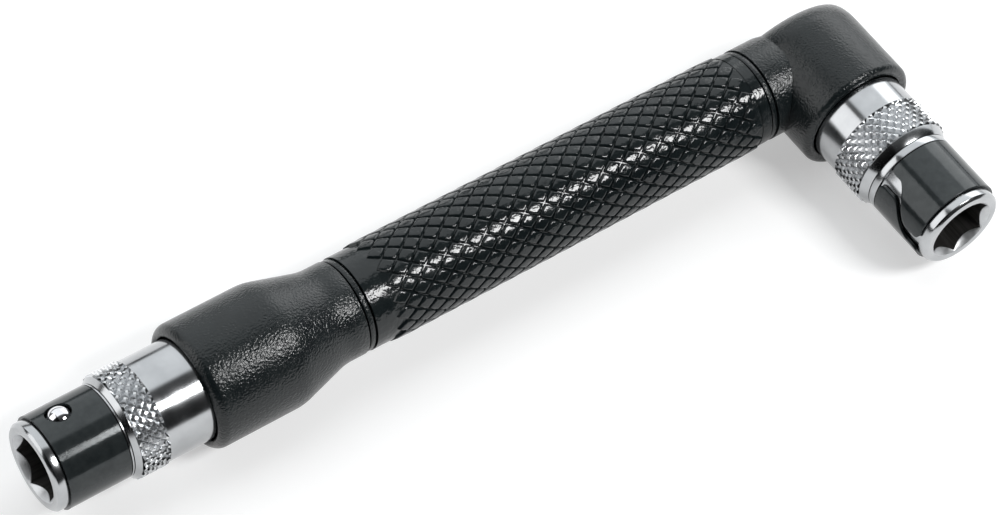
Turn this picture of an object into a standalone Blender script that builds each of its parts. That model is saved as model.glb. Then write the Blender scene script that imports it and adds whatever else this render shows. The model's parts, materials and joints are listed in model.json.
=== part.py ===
"""Two-ended bit wrench: a bent handle with a quarter inch bit socket at each end.

One socket is straight on the handle and the other is square to it. The handle lies along X with
its straight head towards -X, and its angled head points towards -Y.
"""

import math

import bmesh
import bpy
from mathutils import Matrix, Vector

MM = 0.001

# Bit socket
HEX_ACROSS_FLATS = 6.35 * MM
SOCKET_PLAY = 0.1 * MM
SOCKET_DEPTH = 10.0 * MM
SOCKET_LEAD_IN = 0.5 * MM

# Head, measured outwards from the mouth that it comes out of
HEAD_LENGTH = 17.8 * MM
END_RING_LENGTH = 1.2 * MM
END_RING_STEP = 0.3 * MM
END_RING_CHAMFER = 0.3 * MM
CLIP_LENGTH = 7.0 * MM
CLIP_RADIUS = 5.2 * MM
CLIP_THICKNESS = 0.3 * MM
CLIP_PLAY = 0.1 * MM
CLIP_CORNER = 0.7 * MM
CLIP_SLIT_ANGLE = math.radians(168.0)
CLIP_SLIT_SWAY = math.radians(20.0)
CLIP_SLIT_SLANT = 1.9 * MM
CLIP_SLIT_NARROW = math.radians(9.0)
CLIP_SLIT_FLARE = math.radians(10.0)
SHANK_RADIUS = 4.6 * MM
SHANK_IN_MOUTH = 3.3 * MM
SHOULDER_STEP = 0.6 * MM
STRAIGHT_SHOULDER_LENGTH = 0.2 * MM
ANGLED_SHOULDER_LENGTH = 0.85 * MM

# Detent ball
BALL_RADIUS = 1.39 * MM
BALL_BEHIND_FRONT = 3.9 * MM
BALL_REACH = 0.45 * MM
BALL_PLAY = 0.07 * MM
STRAIGHT_BALL_ANGLE = math.radians(71.0)
ANGLED_BALL_ANGLE = math.radians(268.0)

# Finger sleeve: the angled head's stands further back and has the longer cone and knurl
SLEEVE_WALL = 0.98 * MM
SLEEVE_PLAY = 0.1 * MM
SLEEVE_IN_MOUTH = 1.2 * MM
SLEEVE_REAR_CHAMFER = 0.25 * MM
SLEEVE_CONE_DEPTH = 0.5 * MM
STRAIGHT_CONE_LENGTH = 0.5 * MM
ANGLED_CONE_LENGTH = 0.95 * MM
STRAIGHT_KNURL_LENGTH = 3.1 * MM
ANGLED_KNURL_LENGTH = 3.9 * MM
STRAIGHT_KNURL_ROWS = 4
ANGLED_KNURL_ROWS = 5
KNURL_HEIGHT = 0.25 * MM
KNURL_PROUD = 0.15 * MM
KNURL_COUNT = 16

# Keepers of the sleeve
WASHER_THICKNESS = 0.4 * MM
WASHER_WIDTH = 0.7 * MM
SNAP_RING_THICKNESS = 0.5 * MM
SNAP_RING_WIDTH = 0.9 * MM
SNAP_RING_GROOVE = 0.4 * MM
SNAP_RING_GAP = math.radians(40.0)

# Core bar and its pins
CORE_ACROSS_FLATS = 6.0 * MM
CORE_BEND_RADIUS = 4.6 * MM
CORE_AFTER_BEND = 0.4 * MM
SPIGOT_RADIUS = 2.75 * MM
PIN_RADIUS = 0.75 * MM
PIN_FROM_MOUTH = 3.0 * MM
PIN_BELOW_SHANK = 0.3 * MM

# Handle, measured along its axis from the corner of the bend
STRAIGHT_MOUTH = 80.6 * MM
NOSE_LENGTH = 19.1 * MM
NOSE_BELL_LENGTH = 9.6 * MM
NOSE_NECK_LENGTH = 0.8 * MM
NECK_RADIUS = 5.3 * MM
LIP_WIDTH = 1.0 * MM
LIP_ROUNDING = 1.1 * MM
MOUTH_PLAY = 0.32 * MM
MOUTH_CHAMFER = 0.3 * MM
RING_WIDTH = 0.6 * MM
RING_RADIUS = 5.2 * MM
GRIP_END = 9.3 * MM
ELBOW_BACK = 4.9 * MM
ELBOW_FLAT_ANGLE = math.radians(68.0)
ELBOW_SQUARENESS = 5.0

# Diamond pads of the grip
PAD_RADIUS = 5.52 * MM
PAD_GROOVE_DEPTH = 0.42 * MM
PAD_SHARE = 0.72
PAD_ROWS = 19
PAD_COUNT = 18
PLAIN_BAND_NOSE = 2.3 * MM
PLAIN_BAND_ELBOW = 1.2 * MM

# Clearances between pieces
SEAT_GAP = 0.2 * MM
MOULD_GAP = 0.3 * MM

# Facets
ROUND_STEPS = 24
KEEPER_STEPS = 18
PIN_STEPS = 8
BALL_STEPS = 12
ROUNDING_STEPS = 3
BELL_STEPS = 5
BEND_STEPS = 6
CLIP_ROWS = 6
CLIP_COLUMNS = 18

# Places that follow from the sizes above
SOCKET_FLAT = 0.5 * (HEX_ACROSS_FLATS + SOCKET_PLAY)
SOCKET_FLOOR = HEAD_LENGTH - SOCKET_DEPTH
CLIP_FRONT = HEAD_LENGTH - END_RING_LENGTH - CLIP_PLAY
CLIP_REAR = CLIP_FRONT - CLIP_LENGTH
GROOVE_RADIUS = CLIP_RADIUS - CLIP_THICKNESS - CLIP_PLAY
END_RING_RADIUS = CLIP_RADIUS - END_RING_STEP
SHOULDER_FRONT = CLIP_REAR - CLIP_PLAY
SHOULDER_RADIUS = SHANK_RADIUS + SHOULDER_STEP
SLEEVE_BORE = SHANK_RADIUS + SLEEVE_PLAY
SLEEVE_RADIUS = SLEEVE_BORE + SLEEVE_WALL
MOUTH_RADIUS = SLEEVE_RADIUS + MOUTH_PLAY
BELL_RADIUS = MOUTH_RADIUS + LIP_WIDTH
BALL_DISTANCE = SOCKET_FLAT - BALL_REACH + BALL_RADIUS
BALL_HEIGHT = HEAD_LENGTH - BALL_BEHIND_FRONT
WASHER_REAR = -SLEEVE_IN_MOUTH - SEAT_GAP - WASHER_THICKNESS
SNAP_RING_REAR = WASHER_REAR - SEAT_GAP - SNAP_RING_THICKNESS
MOUTH_DEPTH = MOULD_GAP - SNAP_RING_REAR
SPIGOT_BORE = SPIGOT_RADIUS + MOULD_GAP
CORE_SHOULDER = SHANK_IN_MOUTH + MOULD_GAP
SHORT_LEG = CORE_BEND_RADIUS + CORE_AFTER_BEND
LONG_LEG = STRAIGHT_MOUTH - CORE_SHOULDER
ANGLED_MOUTH = SHORT_LEG + CORE_SHOULDER
SPIGOT_LENGTH = CORE_SHOULDER + SOCKET_FLOOR - MOULD_GAP
NOSE_REAR = STRAIGHT_MOUTH - NOSE_LENGTH
GRIP_START = NOSE_REAR - RING_WIDTH - 2 * SEAT_GAP
STUB_START = GRIP_END - RING_WIDTH - 2 * SEAT_GAP
HANDLE_CENTRE_X = 0.5 * (STRAIGHT_MOUTH + HEAD_LENGTH - BELL_RADIUS)
HANDLE_CENTRE_Y = 0.5 * (ANGLED_MOUTH + HEAD_LENGTH - BELL_RADIUS)


# Scene and helpers

for old in list(bpy.data.objects):
    bpy.data.objects.remove(old, do_unlink=True)

parts = bpy.data.collections.new("bit_wrench")
cutters = bpy.data.collections.new("bit_wrench_cutters")
for group in (parts, cutters):
    bpy.context.scene.collection.children.link(group)


def material(name, colour, roughness, metallic):
    made = bpy.data.materials.new(name)
    made.use_nodes = True
    shader = made.node_tree.nodes["Principled BSDF"]
    shader.inputs["Base Color"].default_value = (*colour, 1.0)
    shader.inputs["Roughness"].default_value = roughness
    shader.inputs["Metallic"].default_value = metallic
    return made


def empty(name, parent, matrix):
    made = bpy.data.objects.new(name, None)
    made.empty_display_size = RING_WIDTH
    parts.objects.link(made)
    made.parent = parent
    made.matrix_local = matrix
    return made


def place(name, mesh, look, parent, location=(0.0, 0.0, 0.0)):
    """Puts a finished mesh in the part under its own name."""
    made = bpy.data.objects.new(name, mesh)
    if not mesh.materials:
        mesh.materials.append(look)
    parts.objects.link(made)
    made.parent = parent
    made.location = location
    return made


def finish(bm, name):
    """A mesh from bm with its faces turned outwards and its round sides shaded smooth."""
    bmesh.ops.recalc_face_normals(bm, faces=bm.faces)
    mesh = bpy.data.meshes.new(name)
    bm.to_mesh(mesh)
    bm.free()
    mesh.shade_smooth()
    mesh.set_sharp_from_angle(angle=math.radians(35.0))
    return mesh


def evaluated(made, name):
    """The mesh of an object with its modifiers applied. The object is removed."""
    bpy.context.view_layer.update()
    graph = bpy.context.evaluated_depsgraph_get()
    mesh = bpy.data.meshes.new_from_object(made.evaluated_get(graph))
    bpy.data.objects.remove(made, do_unlink=True)
    bm = bmesh.new()
    bm.from_mesh(mesh)
    bpy.data.meshes.remove(mesh)
    return finish(bm, name)


def turned(name, outline, steps=ROUND_STEPS):
    """A piece turned about Z from a (radius, height) outline that runs down its outer side.

    An outline that starts on the axis ends on it, and any other is closed into a ring.
    """
    mesh = bpy.data.meshes.new(name)
    points = [(radius, 0.0, height) for radius, height in outline]
    edges = [(i - 1, i) for i in range(1, len(points))]
    if outline[0][0] > 0.0:
        edges.append((len(points) - 1, 0))
    mesh.from_pydata(points, edges, [])
    made = bpy.data.objects.new(name, mesh)
    cutters.objects.link(made)
    screw = made.modifiers.new("turn", "SCREW")
    screw.axis = "Z"
    screw.angle = math.tau
    screw.steps = steps
    screw.render_steps = steps
    screw.use_merge_vertices = True
    screw.merge_threshold = 0.01 * MM
    return evaluated(made, name)


def carved(name, body, cuts=(), joins=()):
    """The body's mesh with the joined meshes added and then the cut meshes taken away."""
    made = bpy.data.objects.new(name, body)
    cutters.objects.link(made)
    helpers = []
    for operation, meshes in (("UNION", joins), ("DIFFERENCE", cuts)):
        for mesh in meshes:
            helper = bpy.data.objects.new(name + "_helper", mesh)
            helper.hide_render = True
            helper.display_type = "WIRE"
            cutters.objects.link(helper)
            helpers.append(helper)
            boolean = made.modifiers.new(operation.lower(), "BOOLEAN")
            boolean.operation = operation
            boolean.object = helper
            boolean.solver = "EXACT"
    mesh = evaluated(made, name)
    for helper in helpers:
        bpy.data.objects.remove(helper, do_unlink=True)
    return mesh


def rod(name, radius, low, high, steps=ROUND_STEPS, matrix=Matrix(), top_radius=None):
    """A cylinder, or a cone with a top radius, from low to high along the matrix's Z."""
    bm = bmesh.new()
    bmesh.ops.create_cone(
        bm,
        cap_ends=True,
        segments=steps,
        radius1=radius,
        radius2=radius if top_radius is None else top_radius,
        depth=high - low,
        matrix=matrix @ Matrix.Translation((0.0, 0.0, 0.5 * (low + high))),
    )
    return finish(bm, name)


def hex_rod(name, across_flats, low, high, matrix=Matrix()):
    """A hexagon bar along the matrix's Z with a flat square to its X."""
    turn = Matrix.Rotation(math.radians(30.0), 4, "Z")
    corner = 0.5 * across_flats / math.cos(math.radians(30.0))
    return rod(name, corner, low, high, 6, matrix @ turn)


def frame(location, outward, sideways):
    """A matrix with its Z along outward and its X along sideways."""
    along = Vector(outward).normalized()
    across = Vector(sideways).normalized()
    turn = Matrix((across, along.cross(across), along)).transposed().to_4x4()
    return Matrix.Translation(location) @ turn


def rings_joined(name, rings):
    """A solid lofted through rings of as many points each, closed by a face at both ends."""
    bm = bmesh.new()
    loops = [[bm.verts.new(point) for point in ring] for ring in rings]
    for lower, upper in zip(loops, loops[1:]):
        for i in range(len(lower)):
            j = (i + 1) % len(lower)
            bm.faces.new((lower[i], lower[j], upper[j], upper[i]))
    bm.faces.new(loops[0])
    bm.faces.new(loops[-1])
    return finish(bm, name)


def rounding(radius, steps=ROUNDING_STEPS):
    """(out, along) of a quarter round from its start on the face to its end on the side."""
    angles = [0.5 * math.pi * i / steps for i in range(steps + 1)]
    return [(radius * math.sin(a), radius * (1.0 - math.cos(a))) for a in angles]


black = material("moulded_black", (0.035, 0.042, 0.043), 0.55, 0.0)
rubber = material("grip_black", (0.025, 0.029, 0.030), 0.38, 0.0)
chrome = material("chrome", (0.78, 0.78, 0.80), 0.12, 1.0)
steel = material("steel", (0.46, 0.46, 0.48), 0.35, 1.0)
oxide = material("black_oxide", (0.05, 0.055, 0.057), 0.38, 0.6)

corner_place = Matrix.Translation((HANDLE_CENTRE_X, HANDLE_CENTRE_Y, BELL_RADIUS))
corner = empty("corner", None, corner_place)


# Core bar: a hexagon bent round the corner and turned down to a spigot at both ends

def bent_bar(name, across_flats, longer=0.0):
    """A hexagon bar with its flats up and down, from the straight head's spigot to the angled head's."""
    bm = bmesh.new()
    turn = Matrix.Rotation(math.radians(90.0), 4, "Y") @ Matrix.Rotation(math.radians(30.0), 4, "Z")
    corner_radius = 0.5 * across_flats / math.cos(math.radians(30.0))
    start = Matrix.Translation((-LONG_LEG - longer, 0.0, 0.0)) @ turn
    bmesh.ops.create_circle(bm, segments=6, radius=corner_radius, matrix=start)

    def drawn_on(edges, move):
        drawn = bmesh.ops.extrude_edge_only(bm, edges=edges)["geom"]
        points = [item for item in drawn if isinstance(item, bmesh.types.BMVert)]
        bmesh.ops.translate(bm, verts=points, vec=move)
        return [item for item in drawn if isinstance(item, bmesh.types.BMEdge)]

    outline = drawn_on(bm.edges[:], (LONG_LEG + longer - CORE_BEND_RADIUS, 0.0, 0.0))
    spun = bmesh.ops.spin(
        bm,
        geom=outline,
        cent=(-CORE_BEND_RADIUS, -CORE_BEND_RADIUS, 0.0),
        axis=(0.0, 0.0, -1.0),
        angle=math.radians(90.0),
        steps=BEND_STEPS,
    )
    outline = [item for item in spun["geom_last"] if isinstance(item, bmesh.types.BMEdge)]
    drawn_on(outline, (0.0, -CORE_AFTER_BEND - longer, 0.0))
    bmesh.ops.holes_fill(bm, edges=bm.edges[:], sides=6)
    return finish(bm, name)


straight_frame = frame(
    (-STRAIGHT_MOUTH, 0.0, 0.0),
    (-1.0, 0.0, 0.0),
    (0.0, math.cos(STRAIGHT_BALL_ANGLE), math.sin(STRAIGHT_BALL_ANGLE)),
)
angled_frame = frame(
    (0.0, -ANGLED_MOUTH, 0.0),
    (0.0, -1.0, 0.0),
    (-math.sin(ANGLED_BALL_ANGLE), 0.0, math.cos(ANGLED_BALL_ANGLE)),
)
head_frames = {"straight": straight_frame, "angled": angled_frame}

pin_across = Matrix.Translation((0.0, 0.0, PIN_FROM_MOUTH)) @ Matrix.Rotation(math.radians(90.0), 4, "X")
spigots = []
pin_holes = []
for at in head_frames.values():
    spigots.append(
        rod("spigot", SPIGOT_RADIUS, -CORE_SHOULDER - MOULD_GAP, SPIGOT_LENGTH - CORE_SHOULDER, matrix=at)
    )
    pin_holes.append(
        rod("pin_hole", PIN_RADIUS + SEAT_GAP, -SHANK_RADIUS, SHANK_RADIUS, PIN_STEPS, at @ pin_across)
    )
core_mesh = carved("core_bar", bent_bar("bar", CORE_ACROSS_FLATS), pin_holes, spigots)
place("core_bar", core_mesh, steel, corner)


def core_room():
    """The room that a moulding keeps round the core bar. It runs on into the mouths."""
    return bent_bar("core_room", CORE_ACROSS_FLATS + 2 * MOULD_GAP, MOULD_GAP)


# Mouth: the bore that a head comes out of, with the seat of its barrel behind it

def mouth_room(at):
    """A cutter for a mouth, turned about the head's axis."""
    seat = SHANK_RADIUS + SEAT_GAP
    outline = [
        (0.0, SEAT_GAP),
        (MOUTH_RADIUS + MOUTH_CHAMFER + SEAT_GAP, SEAT_GAP),
        (MOUTH_RADIUS, -MOUTH_CHAMFER),
        (MOUTH_RADIUS, -MOUTH_DEPTH),
        (seat, -MOUTH_DEPTH),
        (seat, -CORE_SHOULDER),
        (0.0, -CORE_SHOULDER),
    ]
    mesh = turned("mouth_room", outline)
    mesh.transform(at)
    return mesh


# Nose: a bell that the straight head comes out of, drawn in to the handle's neck

def nose_mesh():
    lip = BELL_RADIUS - LIP_ROUNDING
    outline = [(0.0, 0.0)]
    outline += [(lip + out, -along) for out, along in rounding(LIP_ROUNDING)]
    taper = NOSE_LENGTH - NOSE_BELL_LENGTH - NOSE_NECK_LENGTH
    for i in range(BELL_STEPS + 1):
        share = i / BELL_STEPS
        ease = 0.5 - 0.5 * math.cos(math.pi * share)
        radius = BELL_RADIUS + ease * (NECK_RADIUS - BELL_RADIUS)
        outline.append((radius, -NOSE_BELL_LENGTH - share * taper))
    outline += [(NECK_RADIUS, -NOSE_LENGTH), (0.0, -NOSE_LENGTH)]
    bell = turned("bell", outline)
    bell.transform(straight_frame)
    return carved("nose_shell", bell, [core_room(), mouth_room(straight_frame)])


place("nose_shell", nose_mesh(), black, corner)


# Rings that close the grip's ends

along_handle = Matrix.Rotation(math.radians(90.0), 4, "Y")
for name, start in (("nose_ring", NOSE_REAR - SEAT_GAP), ("elbow_ring", GRIP_END - SEAT_GAP)):
    ring_body = rod(name, RING_RADIUS, -start, RING_WIDTH - start, matrix=along_handle)
    place(name, carved(name, ring_body, [core_room()]), black, corner)


# Grip: a tube whose surface is a lattice of raised diamond pads between two plain bands

def diamond_grip():
    pad_start = GRIP_START - PLAIN_BAND_NOSE
    pad_end = GRIP_END + PLAIN_BAND_ELBOW
    half_rows = 2 * PAD_ROWS
    columns = 2 * PAD_COUNT
    row_step = (pad_start - pad_end) / half_rows
    column_step = math.tau / columns
    groove_radius = PAD_RADIUS - PAD_GROOVE_DEPTH
    bm = bmesh.new()

    def point(row, column, radius):
        angle = column * column_step
        x = row * row_step - pad_start
        return bm.verts.new((x, radius * math.cos(angle), radius * math.sin(angle)))

    nodes = {}
    for row in range(half_rows + 1):
        at_end = row in (0, half_rows)
        for column in range(columns):
            if at_end or (row + column) % 2 == 0:
                nodes[row, column] = point(row, column, NECK_RADIUS if at_end else groove_radius)

    for row in range(half_rows + 1):
        for column in range(columns):
            if (row + column) % 2 == 0:
                continue
            rows = [min(row + 1, half_rows), row, max(row - 1, 0), row]
            turns = [column, column + 1, column, column - 1]
            middle = sum(rows) / 4.0
            outer = [nodes[r, c % columns] for r, c in zip(rows, turns)]
            inner = [
                point(middle + PAD_SHARE * (r - middle), column + PAD_SHARE * (c - column), PAD_RADIUS)
                for r, c in zip(rows, turns)
            ]
            bm.faces.new((inner[0], inner[1], inner[2]))
            bm.faces.new((inner[2], inner[3], inner[0]))
            for i in range(4):
                j = (i + 1) % 4
                bm.faces.new((outer[i], outer[j], inner[j], inner[i]))

    for row, x in ((0, -GRIP_START), (half_rows, -GRIP_END)):
        end = []
        for column in range(columns):
            angle = column * column_step
            end.append(bm.verts.new((x, NECK_RADIUS * math.cos(angle), NECK_RADIUS * math.sin(angle))))
        for column in range(columns):
            after = (column + 1) % columns
            bm.faces.new((nodes[row, column], nodes[row, after], end[after], end[column]))
        bm.faces.new(end)
    return finish(bm, "grip")


grip_mesh = carved("grip_sleeve", diamond_grip(), [core_room()])
place("grip_sleeve", grip_mesh, rubber, corner)


# Elbow: a round block about the angled head's axis with a flat back, on a stub of the handle

def elbow_section(y, half_width, half_height):
    angles = [math.tau * i / ROUND_STEPS for i in range(ROUND_STEPS)]
    return [(half_width * math.cos(a), y, half_height * math.sin(a)) for a in angles]


elbow_sections = []
for out, along in rounding(LIP_ROUNDING):
    radius = BELL_RADIUS - LIP_ROUNDING + out
    elbow_sections.append(elbow_section(along - ANGLED_MOUTH, radius, radius))
for i in range(BELL_STEPS + 1):
    angle = ELBOW_FLAT_ANGLE * i / BELL_STEPS
    depth = math.sin(angle)
    half_width = BELL_RADIUS * (1.0 - depth**ELBOW_SQUARENESS) ** (1.0 / ELBOW_SQUARENESS)
    elbow_sections.append(elbow_section(ELBOW_BACK * depth, half_width, BELL_RADIUS * math.cos(angle)))
elbow_block = rings_joined("elbow", elbow_sections)
stub = rod("stub", NECK_RADIUS, -STUB_START, 0.0, matrix=along_handle)
elbow_mesh = carved("elbow_shell", elbow_block, [core_room(), mouth_room(angled_frame)], [stub])
place("elbow_shell", elbow_mesh, black, corner)


# Barrel: a turned socket with a ring on its end, a groove for the clip, a shoulder and a bored shank

to_side = Matrix.Translation((0.0, 0.0, BALL_HEIGHT)) @ Matrix.Rotation(math.radians(90.0), 4, "Y")


def barrel_mesh(shoulder_rear):
    rear = -SHANK_IN_MOUTH
    groove = SHANK_RADIUS - SNAP_RING_GROOVE
    ring_rear = HEAD_LENGTH - END_RING_LENGTH
    outline = [
        (SPIGOT_BORE, HEAD_LENGTH),
        (END_RING_RADIUS - END_RING_CHAMFER, HEAD_LENGTH),
        (END_RING_RADIUS, HEAD_LENGTH - END_RING_CHAMFER),
        (END_RING_RADIUS, ring_rear),
        (GROOVE_RADIUS, ring_rear),
        (GROOVE_RADIUS, SHOULDER_FRONT),
        (SHOULDER_RADIUS, SHOULDER_FRONT),
        (SHOULDER_RADIUS, shoulder_rear),
        (SHANK_RADIUS, shoulder_rear),
        (SHANK_RADIUS, SNAP_RING_REAR + SNAP_RING_THICKNESS + CLIP_PLAY),
        (groove, SNAP_RING_REAR + SNAP_RING_THICKNESS + CLIP_PLAY),
        (groove, SNAP_RING_REAR - CLIP_PLAY),
        (SHANK_RADIUS, SNAP_RING_REAR - CLIP_PLAY),
        (SHANK_RADIUS, rear),
        (SPIGOT_BORE, rear),
    ]
    beyond = HEAD_LENGTH + SOCKET_LEAD_IN
    corner_radius = SOCKET_FLAT / math.cos(math.radians(30.0))
    socket = hex_rod("socket", 2 * SOCKET_FLAT, SOCKET_FLOOR, beyond)
    lead_in = rod(
        "lead_in",
        corner_radius - SOCKET_LEAD_IN,
        HEAD_LENGTH - 1.5 * SOCKET_LEAD_IN,
        beyond,
        top_radius=corner_radius + SOCKET_LEAD_IN,
    )
    seat_radius = BALL_RADIUS + BALL_PLAY
    seat_apex = BALL_DISTANCE - math.sqrt(2.0) * seat_radius
    ball_seat = turned(
        "ball_seat",
        [
            (0.0, CLIP_RADIUS),
            (seat_radius, CLIP_RADIUS),
            (seat_radius, seat_apex + seat_radius),
            (0.0, seat_apex),
        ],
        BALL_STEPS,
    )
    ball_seat.transform(to_side)
    pin_hole = rod("pin_hole", PIN_RADIUS + SEAT_GAP, -CLIP_RADIUS, CLIP_RADIUS, PIN_STEPS, pin_across)
    body = turned("barrel", outline)
    return carved("barrel", body, [socket, lead_in, ball_seat, pin_hole])


# Sleeve: a turned ring with a knurl of small pyramids behind the cone at its front

def sleeve_mesh(front, cone_length, knurl_length, knurl_rows):
    columns = 2 * KNURL_COUNT
    rear = -SLEEVE_IN_MOUTH
    cone_rear = front - cone_length
    knurl_front = cone_rear - SLEEVE_REAR_CHAMFER
    knurl_rear = cone_rear - knurl_length
    peak = SLEEVE_RADIUS + KNURL_PROUD
    valley = peak - KNURL_HEIGHT
    plain = [
        (SLEEVE_RADIUS - SLEEVE_REAR_CHAMFER, rear),
        (SLEEVE_RADIUS, rear + SLEEVE_REAR_CHAMFER),
        (SLEEVE_RADIUS, knurl_rear - SLEEVE_REAR_CHAMFER),
    ]
    cone = [
        (valley, cone_rear),
        (SLEEVE_RADIUS - SLEEVE_CONE_DEPTH, front),
        (SLEEVE_BORE, front),
    ]
    rows = [[plain_row] * columns for plain_row in plain]
    for k in range(knurl_rows + 1):
        height = knurl_rear + (knurl_front - knurl_rear) * k / knurl_rows
        rows.append([(peak if (k + c) % 2 else valley, height) for c in range(columns)])
    rows += [[cone_row] * columns for cone_row in cone]
    rows.append([(SLEEVE_BORE, rear)] * columns)
    bm = bmesh.new()
    loops = []
    for row in rows:
        loop = []
        for c, (radius, height) in enumerate(row):
            angle = math.tau * c / columns
            loop.append(bm.verts.new((radius * math.cos(angle), radius * math.sin(angle), height)))
        loops.append(loop)
    for k, lower in enumerate(loops):
        upper = loops[(k + 1) % len(loops)]
        for c in range(columns):
            d = (c + 1) % columns
            if (k + c) % 2:
                bm.faces.new((lower[c], lower[d], upper[d]))
                bm.faces.new((upper[d], upper[c], lower[c]))
            else:
                bm.faces.new((lower[c], lower[d], upper[c]))
                bm.faces.new((upper[d], upper[c], lower[d]))
    return finish(bm, "sleeve")


# Clip: a spring band wrapped round the barrel, with a curved slit and a hole for the ball

def clip_mesh():
    middle_radius = CLIP_RADIUS - 0.5 * CLIP_THICKNESS
    bm = bmesh.new()
    bmesh.ops.create_grid(bm, x_segments=CLIP_COLUMNS, y_segments=CLIP_ROWS, size=0.5)
    for vert in bm.verts:
        round_share = vert.co.x + 0.5
        from_middle = 0.5 * CLIP_LENGTH * math.sin(math.pi * vert.co.y)
        slant = max(-1.0, min(1.0, from_middle / CLIP_SLIT_SLANT))
        middle = CLIP_SLIT_ANGLE + CLIP_SLIT_SWAY * math.sin(0.5 * math.pi * slant)
        in_corner = max(0.0, abs(from_middle) - 0.5 * CLIP_LENGTH + CLIP_CORNER)
        cut_back = CLIP_CORNER - math.sqrt(max(0.0, CLIP_CORNER**2 - in_corner**2))
        half_slit = 0.5 * (CLIP_SLIT_NARROW + CLIP_SLIT_FLARE * slant**2) + cut_back / CLIP_RADIUS
        angle = middle + half_slit + round_share * (math.tau - 2.0 * half_slit)
        vert.co = (
            middle_radius * math.cos(angle),
            middle_radius * math.sin(angle),
            CLIP_REAR + 0.5 * CLIP_LENGTH + from_middle,
        )
    bmesh.ops.triangulate(bm, faces=bm.faces[:], quad_method="SHORT_EDGE")
    band = bpy.data.objects.new("band", finish(bm, "band"))
    cutters.objects.link(band)
    thicken = band.modifiers.new("thickness", "SOLIDIFY")
    thicken.thickness = CLIP_THICKNESS
    thicken.offset = 0.0
    solid = evaluated(band, "band")
    inner_radius = CLIP_RADIUS - CLIP_THICKNESS
    above_ball = math.sqrt(inner_radius**2 - BALL_RADIUS**2) - BALL_DISTANCE
    hole_radius = math.sqrt(BALL_RADIUS**2 - above_ball**2) + BALL_PLAY
    hole = rod("ball_hole", hole_radius, BALL_DISTANCE, CLIP_RADIUS + SEAT_GAP, 2 * BALL_STEPS, to_side)
    return carved("retaining_clip", solid, [hole])


def flat_ring(name, inner, outer, low, high):
    return turned(name, [(outer, high), (outer, low), (inner, low), (inner, high)], KEEPER_STEPS)


def snap_ring_mesh():
    inner = SHANK_RADIUS - SNAP_RING_GROOVE + CLIP_PLAY
    outer = inner + SNAP_RING_WIDTH
    high = SNAP_RING_REAR + SNAP_RING_THICKNESS
    ring = flat_ring("snap_ring", inner, outer, SNAP_RING_REAR, high)
    gap_width = SHANK_RADIUS * SNAP_RING_GAP
    bm = bmesh.new()
    size = Matrix.Diagonal((2 * outer, gap_width, 4 * SNAP_RING_THICKNESS, 1.0))
    middle = Matrix.Translation((outer, 0.0, SNAP_RING_REAR))
    bmesh.ops.create_cube(bm, size=1.0, matrix=middle @ size)
    return carved("snap_ring", ring, [finish(bm, "gap")])


def ball_mesh():
    bm = bmesh.new()
    bmesh.ops.create_uvsphere(bm, u_segments=BALL_STEPS, v_segments=BALL_STEPS // 2, radius=BALL_RADIUS)
    return finish(bm, "detent_ball")


def washer_mesh():
    inner = SHANK_RADIUS + SEAT_GAP
    high = WASHER_REAR + WASHER_THICKNESS
    return flat_ring("thrust_washer", inner, inner + WASHER_WIDTH, WASHER_REAR, high)


def pin_mesh():
    half = SHANK_RADIUS - PIN_BELOW_SHANK
    return rod("cross_pin", PIN_RADIUS, -half, half, PIN_STEPS, pin_across)


shared_pieces = (
    ("thrust_washer", washer_mesh(), steel),
    ("snap_ring", snap_ring_mesh(), steel),
    ("retaining_clip", clip_mesh(), oxide),
    ("cross_pin", pin_mesh(), steel),
)
ball_shape = ball_mesh()


# Heads: each in the frame of its own mouth, with its sleeve behind its shoulder and its ball in line

heads = (
    ("straight", STRAIGHT_SHOULDER_LENGTH, STRAIGHT_CONE_LENGTH, STRAIGHT_KNURL_LENGTH, STRAIGHT_KNURL_ROWS),
    ("angled", ANGLED_SHOULDER_LENGTH, ANGLED_CONE_LENGTH, ANGLED_KNURL_LENGTH, ANGLED_KNURL_ROWS),
)
for head, shoulder_length, cone_length, knurl_length, knurl_rows in heads:
    mouth = empty(head + "_mouth", corner, head_frames[head])
    shoulder_rear = SHOULDER_FRONT - shoulder_length
    sleeve_front = shoulder_rear - SLEEVE_PLAY
    place(head + "_barrel", barrel_mesh(shoulder_rear), chrome, mouth)
    sleeve = sleeve_mesh(sleeve_front, cone_length, knurl_length, knurl_rows)
    place(head + "_sleeve", sleeve, chrome, mouth)
    for piece, mesh, look in shared_pieces:
        place(head + "_" + piece, mesh, look, mouth)
    place(head + "_detent_ball", ball_shape, steel, mouth, (BALL_DISTANCE, 0.0, BALL_HEIGHT))
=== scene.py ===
import json
import math

import bmesh
import bpy
from mathutils import Matrix, Vector


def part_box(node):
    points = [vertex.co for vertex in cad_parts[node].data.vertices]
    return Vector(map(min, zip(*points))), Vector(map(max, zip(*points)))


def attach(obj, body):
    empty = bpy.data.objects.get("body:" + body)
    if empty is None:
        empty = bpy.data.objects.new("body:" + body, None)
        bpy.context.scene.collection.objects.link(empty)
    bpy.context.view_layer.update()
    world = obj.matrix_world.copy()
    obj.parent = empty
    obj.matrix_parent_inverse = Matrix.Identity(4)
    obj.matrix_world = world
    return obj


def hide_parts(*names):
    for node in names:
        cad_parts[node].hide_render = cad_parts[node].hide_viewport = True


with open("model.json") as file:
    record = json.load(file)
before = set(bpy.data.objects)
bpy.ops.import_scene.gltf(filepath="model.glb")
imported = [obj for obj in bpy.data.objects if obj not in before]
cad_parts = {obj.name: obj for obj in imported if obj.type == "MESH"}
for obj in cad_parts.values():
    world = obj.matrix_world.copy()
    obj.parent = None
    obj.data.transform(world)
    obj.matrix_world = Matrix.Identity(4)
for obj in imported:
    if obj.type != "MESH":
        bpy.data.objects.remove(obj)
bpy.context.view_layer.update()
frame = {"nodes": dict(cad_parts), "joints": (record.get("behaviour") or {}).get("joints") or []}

MM = 0.001


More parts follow.
